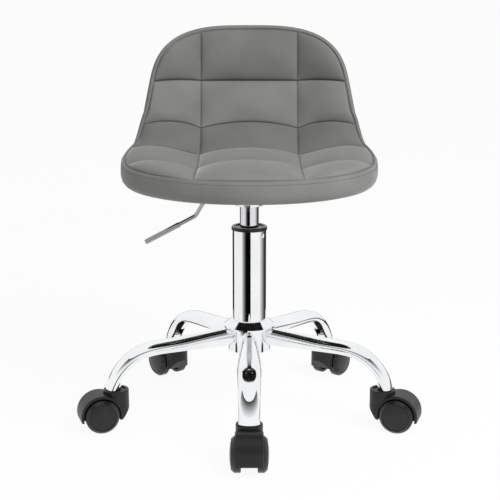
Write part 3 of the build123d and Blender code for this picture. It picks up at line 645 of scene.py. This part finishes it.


def border_step(mesh, edge_loop, starts, distance, level):
    """Carry the cover's edge on by one row. Returns the new edges and each new vertex's start."""
    made = bmesh.ops.extrude_edge_only(mesh, edges=edge_loop)["geom"]
    fresh = {}
    for vert in made:
        if isinstance(vert, bmesh.types.BMVert):
            old = next(edge.other_vert(vert) for edge in vert.link_edges if edge.other_vert(vert) in starts)
            place, out = fresh[vert] = starts[old]
            vert.co = place + out * distance
            vert.co.z = level(place.y)
    edges = [item for item in made if isinstance(item, bmesh.types.BMEdge)
             and all(vert in fresh for vert in item.verts)]
    return edges, fresh


def sewn_cushion():
    """The closed cushion, still to be puffed up, and the points that its seams hold."""
    mesh = bmesh.new()
    # Layers for painted shade: along the seams' grooves, and for each row of pads
    painted_seam_shade = mesh.verts.layers.float.new("seam")
    nap = mesh.verts.layers.float.new("nap")
    crease = mesh.edges.layers.float.new("crease_edge")
    back = flat_cover(mesh, RIM_W)
    for vert in back:
        vert.co.z = -FOAM
    bmesh.ops.reverse_faces(mesh, faces=mesh.faces[:])
    back_edges = [edge for edge in mesh.edges if edge.is_boundary]
    parts = flat_cover(mesh, PAD_INSET)
    held = set(back)
    for vert, (row, part, across, middle) in parts.items():
        vert.co.z = pad_level(row, part, across, middle)
        # each row's pads carry a painted shade, lighter or darker as light falls on that row
        vert[nap] = ROW_PAINTED_SHADE[row]
        on_row = part in (0.0, 1.0)
        on_column = across in (0.0, 1.0)
        if on_row or on_column:
            held.add(vert)
            # seam points carry painted shade for their grooves
            vert[painted_seam_shade] = PAINTED_SEAM_SHADE["border" if vert.is_boundary else "row" if on_row else "column"]
    for edge in mesh.edges:
        if all(vert in parts and vert[painted_seam_shade] > 0.0 for vert in edge.verts):
            edge[crease] = 1.0
    edge_loop = [edge for edge in mesh.edges if edge.is_boundary and edge.verts[0] in parts]
    starts = {vert: (vert.co.copy(), outward(vert)) for edge in edge_loop for vert in edge.verts}
    for distance, height in STRIP_ROWS:
        edge_loop, starts = border_step(mesh, edge_loop, starts, distance, lambda travel: height)
        held.update(starts)
        for vert in starts:
            vert[painted_seam_shade] = vert[nap] = 0.0
    for vert in starts:
        vert[painted_seam_shade] = PAINTED_SEAM_SHADE["border"]
    for edge in edge_loop:
        edge[crease] = 1.0
    for step, (distance, depth) in enumerate(BAND_ROWS):
        edge_loop, starts = border_step(mesh, edge_loop, starts, distance,
                                        lambda travel: BAND_TOP - rim_depth(travel) * depth)
        for vert in starts:
            vert[painted_seam_shade] = 0.0
        if step >= len(BAND_ROWS) - POCKET_ROWS:
            held.update(starts)
    bmesh.ops.bridge_loops(mesh, edges=edge_loop + back_edges)
    for vert in mesh.verts:
        vert.co = bend_to_shell(vert.co)
    bmesh.ops.recalc_face_normals(mesh, faces=mesh.faces)
    mesh.verts.index_update()
    held_points = [vert.index for vert in held]
    return mesh, held_points


def object_of(name, mesh, material):
    """Make an object of a bmesh, at the origin, with one finish."""
    data = bpy.data.meshes.new(name)
    mesh.to_mesh(data)
    mesh.free()
    data.materials.append(material)
    made = bpy.data.objects.new(name, data)
    bpy.context.scene.collection.objects.link(made)
    return made


def new_piece(name, mesh, material, body):
    """A smooth piece of the stool that rides on a body."""
    piece = object_of(name, mesh, material)
    piece.data.shade_smooth()
    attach(piece, body)
    return piece


VELVET_DARK = srgb(103, 103, 101)
VELVET_LIGHT = srgb(139, 139, 137)
# Seam colour: the thread's darker colour together with painted shade for the seams' grooves
VELVET_SEAM_SHADE = srgb(52, 52, 51)
VELVET_TONE = 0.25                  # tone from dark to light before the next ones add to it
BRUSHED_PATCH = 0.05
BRUSHED_SHARE = 0.3                 # how much the brushed patches change the tone
PILE = 0.0006
PILE_SHARE = 0.2
PILE_RELIEF = 0.00012


def velvet():
    material, place, shader = start_finish("seat_velvet")
    brushed = place.noise(BRUSHED_PATCH)
    pile = place.noise(PILE)
    # The rows' painted shade, read from the cushion, lightens or darkens the cloth
    nap = place.node("Attribute", {"attribute_name": "nap"}, {}, "Fac")
    tone = brushed * BRUSHED_SHARE + pile * PILE_SHARE + nap + VELVET_TONE
    cloth = tone.tint(VELVET_DARK, VELVET_LIGHT)
    # Painted shade along the seams, mixed over the cloth's colour
    seam = place.node("Attribute", {"attribute_name": "seam"}, {}, "Fac")
    # A Mix node's sockets share their names, so the two colours and the result go by number
    shaded = place.node("Mix", {"data_type": "RGBA"}, {0: seam, 6: cloth, 7: VELVET_SEAM_SHADE}, 2)
    place.fill(shader, {
        "Base Color": shaded,
        "Roughness": pile.between(0.75, 0.95),
        "Normal": pile.bump(PILE_RELIEF, strength=0.6),
        "Specular IOR Level": 0.2,
        "Sheen Weight": 0.5,
        "Sheen Roughness": 0.3,
    })
    return material


PUFF_PRESSURE = 4.0
PUFF_FRAMES = 20
PUFF_LIMIT = 0.006                  # furthest that the foam pushes a point of the cover


def puff_up(piece, held_points):
    """Let the foam push the cover out between its seams, as simulated cloth, and keep the result."""
    pins = piece.vertex_groups.new(name="seams")
    pins.add(held_points, 1.0, "REPLACE")
    before = [vert.co.copy() for vert in piece.data.vertices]
    modifier = piece.modifiers.new("foam", "CLOTH")
    settings = modifier.settings
    settings.quality = 6
    settings.mass = 0.3
    settings.tension_stiffness = 20
    settings.compression_stiffness = 20
    settings.shear_stiffness = 8
    settings.bending_stiffness = 0.5
    settings.use_pressure = True
    settings.uniform_pressure_force = PUFF_PRESSURE
    settings.vertex_group_mass = pins.name
    settings.effector_weights.gravity = 0.0
    scene = bpy.context.scene
    for step in range(1, PUFF_FRAMES + 1):
        scene.frame_set(step)
    puffed = piece.evaluated_get(bpy.context.evaluated_depsgraph_get()).data
    moved = [vert.co.copy() for vert in puffed.vertices]
    piece.modifiers.remove(modifier)
    scene.frame_set(1)
    for vert, old, new in zip(piece.data.vertices, before, moved):
        shift = new - old
        if shift.length > PUFF_LIMIT:
            shift *= PUFF_LIMIT / shift.length
        vert.co = old + shift
    piece.vertex_groups.clear()


cushion_mesh, cushion_seams = sewn_cushion()
seat_velvet = velvet()
cushion = new_piece("seat_cushion", cushion_mesh, seat_velvet, "seat")
puff_up(cushion, cushion_seams)
smoother = cushion.modifiers.new("smooth", "SUBSURF")
smoother.levels = 1
smoother.render_levels = 1
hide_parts("seat_pad")


# Covers behind the shell: velvet over thin foam up the back, and black non-woven cloth stapled
# across the underside. They meet in a seam where the shell starts to bend up.

COVER_INSET = 0.0178                # from the cushion's outline in to the covers' edge
COVER_INSIDE = -0.0198              # levels of a cover's two faces, out of the cut line
COVER_OUTSIDE = -0.024
COVER_PUFF = 0.0012                 # how much thinner a cover is at its edge
COVER_SEAM = ROW_SEAMS[2]
CLOTH_DARK = srgb(16, 16, 16)
CLOTH_LIGHT = srgb(28, 28, 28)
CLOTH_FIBRES = 0.0011
FIBRE_RELIEF = 0.00015


def rear_cover(behind):
    """One closed cover, up the back or across the underside."""
    mesh = bmesh.new()
    flat_cover(mesh, COVER_INSET)
    spare = [face for face in mesh.faces if (face.calc_center_median().y > COVER_SEAM) != behind]
    bmesh.ops.delete(mesh, geom=spare, context="FACES")
    edge_points = {vert for vert in mesh.verts if vert.is_boundary}
    for vert in mesh.verts:
        vert.co.z = COVER_OUTSIDE + (COVER_PUFF if vert in edge_points else 0.0)
    inside = bmesh.ops.extrude_face_region(mesh, geom=mesh.faces[:])["geom"]
    for vert in inside:
        if isinstance(vert, bmesh.types.BMVert):
            vert.co.z = COVER_INSIDE
    for vert in mesh.verts:
        vert.co = bend_to_shell(vert.co)
    bmesh.ops.recalc_face_normals(mesh, faces=mesh.faces)
    return mesh


def non_woven():
    material, place, shader = start_finish("non_woven_cloth")
    fibres = place.noise(CLOTH_FIBRES, detail=4.0)
    place.fill(shader, {
        "Base Color": fibres.tint(CLOTH_DARK, CLOTH_LIGHT),
        "Roughness": fibres.between(0.85, 0.98),
        "Normal": fibres.bump(FIBRE_RELIEF),
        "Specular IOR Level": 0.2,
    })
    return material


back_cover = new_piece("back_cover", rear_cover(True), seat_velvet, "seat")
under_cover = new_piece("under_cover", rear_cover(False), non_woven(), "seat")
for cover in (back_cover, under_cover):
    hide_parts("rear_cover")


# Floor, light and camera: a plain pale studio, seen from a little above the seat. Black and grey flags
# lie on the floor and a grey card stands behind the camera. Only polished metal shows them, as stripes.

FLOOR_SIZE = 40.0
FLOOR_GLOW = 0.93                   # share of the floor's white that no shadow takes away
EYE = (0.001, -1.8367, 0.6805)
LOOK_DOWN = math.radians(13.04)
SENSOR = 36.0
LENS = 90.98
# Each flag's first and last direction, in degrees to the right of straight ahead, with its greys there
FLAGS = (((-52.0, 240), (-24.0, 40)), ((-24.0, 8), (9.0, 8)),
         ((78.0, 240), (130.0, 50)), ((130.0, 40), (232.0, 8)))
FLAG_NEAR = (0.45, 0.003, 0)        # distance from the column, height, and grey to add there
FLAG_FAR = (1.7, 0.003, 0)
CARD_SIDES = ((-80.0, 0), (80.0, 0))    # a card that stands high up behind the camera, dark at its top
CARD_LOW = (2.5, 0.9, 250)
CARD_HIGH = (2.5, 2.9, 60)
TURN_STEP = 8.0                     # degrees to a cell of a flag's mesh
AMBIENT = 0.5                       # world light on matt surfaces
SOFTBOX_SIZE = 1.4
SOFTBOX_POWER = 46.0
SOFTBOX_PLACE = (1.2, -1.3, 1.9)
SOFTBOX_AIM = Vector((0.0, 0.0, 0.35))


def stage_piece(name, mesh, material):
    """An object of the studio, not of the stool."""
    piece = object_of(name, mesh, material)
    return piece


def white_when_seen(place):
    """One for the rays that look at a surface, nought for those that light one."""
    straight = place.node("LightPath", {}, {}, "Is Camera Ray")
    mirrored = place.node("LightPath", {}, {}, "Is Glossy Ray")
    through = place.node("LightPath", {}, {}, "Is Transmission Ray")
    return place.maths("MINIMUM", straight + mirrored + through, 1.0)


floor_material, floor_place, floor_shader = start_finish("studio_floor")
floor_tree = floor_material.node_tree
floor_place.fill(floor_shader, {"Base Color": srgb(252, 252, 252), "Roughness": 0.9})
glow = floor_place.node("Emission", {}, {"Color": (1.0, 1.0, 1.0, 1.0), "Strength": 1.0})
lit = Pattern(floor_tree, floor_shader.outputs["BSDF"])
glow_share = white_when_seen(floor_place) * FLOOR_GLOW
blend = floor_place.node("MixShader", {}, {0: glow_share, 1: lit, 2: glow})
floor_tree.links.new(blend.socket, floor_tree.nodes["Material Output"].inputs["Surface"])
floor_mesh = bmesh.new()
bmesh.ops.create_grid(floor_mesh, x_segments=1, y_segments=1, size=FLOOR_SIZE / 2)
stage_piece("floor", floor_mesh, floor_material)


flag_material, flag_place, flag_shader = start_finish("hidden_flag")
flag_place.fill(flag_shader, {
    "Base Color": (0.0, 0.0, 0.0, 1.0),
    "Roughness": 1.0,
    "Specular IOR Level": 0.0,
    "Emission Color": flag_place.node("Attribute", {"attribute_name": "tone"}, {}, "Color"),
    "Emission Strength": 1.0,
})


def hidden_flag(name, first, last, near, far):
    """A grey sheet part of the way round the stool, seen only by polished surfaces."""
    mesh = bmesh.new()
    tone = mesh.verts.layers.float.new("tone")
    turns = math.ceil((last[0] - first[0]) / TURN_STEP)
    bmesh.ops.create_grid(mesh, x_segments=turns, y_segments=turns, size=0.5)
    for vert in mesh.verts:
        turn, grey = Vector(first).lerp(Vector(last), vert.co.x + 0.5)
        away, height, added = Vector(near).lerp(Vector(far), vert.co.y + 0.5)
        vert.co = (away * math.sin(math.radians(turn)), -away * math.cos(math.radians(turn)), height)
        vert[tone] = srgb(grey + added, 0, 0)[0]
    flag = stage_piece(name, mesh, flag_material)
    flag.visible_camera = False
    flag.visible_diffuse = False
    flag.visible_shadow = False


for number, (first, last) in enumerate(FLAGS):
    hidden_flag(f"flag_{number}", first, last, FLAG_NEAR, FLAG_FAR)
hidden_flag("card", *CARD_SIDES, CARD_LOW, CARD_HIGH)

world = bpy.data.worlds.new("studio")
world.use_nodes = True
bpy.context.scene.world = world
sky = world.node_tree.nodes["Background"]
sky_place = Pattern(world.node_tree, sky.outputs["Background"])
sky_white = white_when_seen(sky_place)
sky_place.fill(sky, {"Color": (1.0, 1.0, 1.0, 1.0), "Strength": sky_white.between(AMBIENT, 1.0)})

softbox_data = bpy.data.lights.new("softbox", "AREA")
softbox_data.size = SOFTBOX_SIZE
softbox_data.energy = SOFTBOX_POWER
softbox = bpy.data.objects.new("softbox", softbox_data)
softbox.location = SOFTBOX_PLACE
softbox.rotation_euler = (SOFTBOX_AIM - Vector(SOFTBOX_PLACE)).to_track_quat("-Z", "Y").to_euler()
softbox.visible_glossy = False
bpy.context.scene.collection.objects.link(softbox)

camera_data = bpy.data.cameras.new("camera")
camera_data.sensor_width = SENSOR
camera_data.lens = LENS
camera = bpy.data.objects.new("camera", camera_data)
camera.location = EYE
camera.rotation_euler = (math.pi / 2 - LOOK_DOWN, 0.0, 0.0)
bpy.context.scene.collection.objects.link(camera)
bpy.context.scene.camera = camera
bpy.context.scene.view_settings.view_transform = "Standard"
